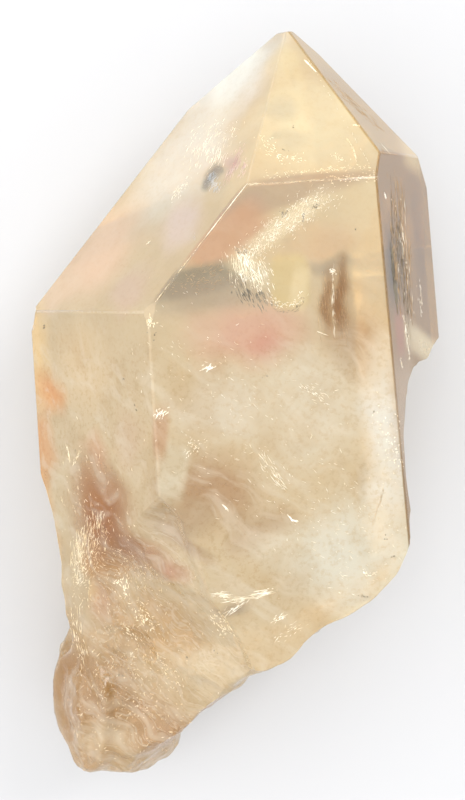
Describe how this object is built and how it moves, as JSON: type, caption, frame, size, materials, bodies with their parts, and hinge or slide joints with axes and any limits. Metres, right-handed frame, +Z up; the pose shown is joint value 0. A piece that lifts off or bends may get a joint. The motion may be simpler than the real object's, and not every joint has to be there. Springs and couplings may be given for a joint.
{
  "type": "quartz point",
  "caption": "Natural quartz crystal lying on one prism face: an uneven six-sided prism with a pointed tip, a worn side and a rough slanted broken base.",
  "frame": {"origin": "bottom centre of the box, on the prism face that the crystal lies on", "axes": "+Y along the crystal's axis towards the tip, +Z up through the prism face that shows, +X towards the narrow worn side"},
  "size_m": [0.0576, 0.0994, 0.0402],
  "materials": {
    "quartz": "clear to milky quartz with a warm honey tint, glossy growth faces and a satin broken base"
  },
  "bodies": {
    "root": {"quartz_point": "quartz"}
  },
  "joints": []
}
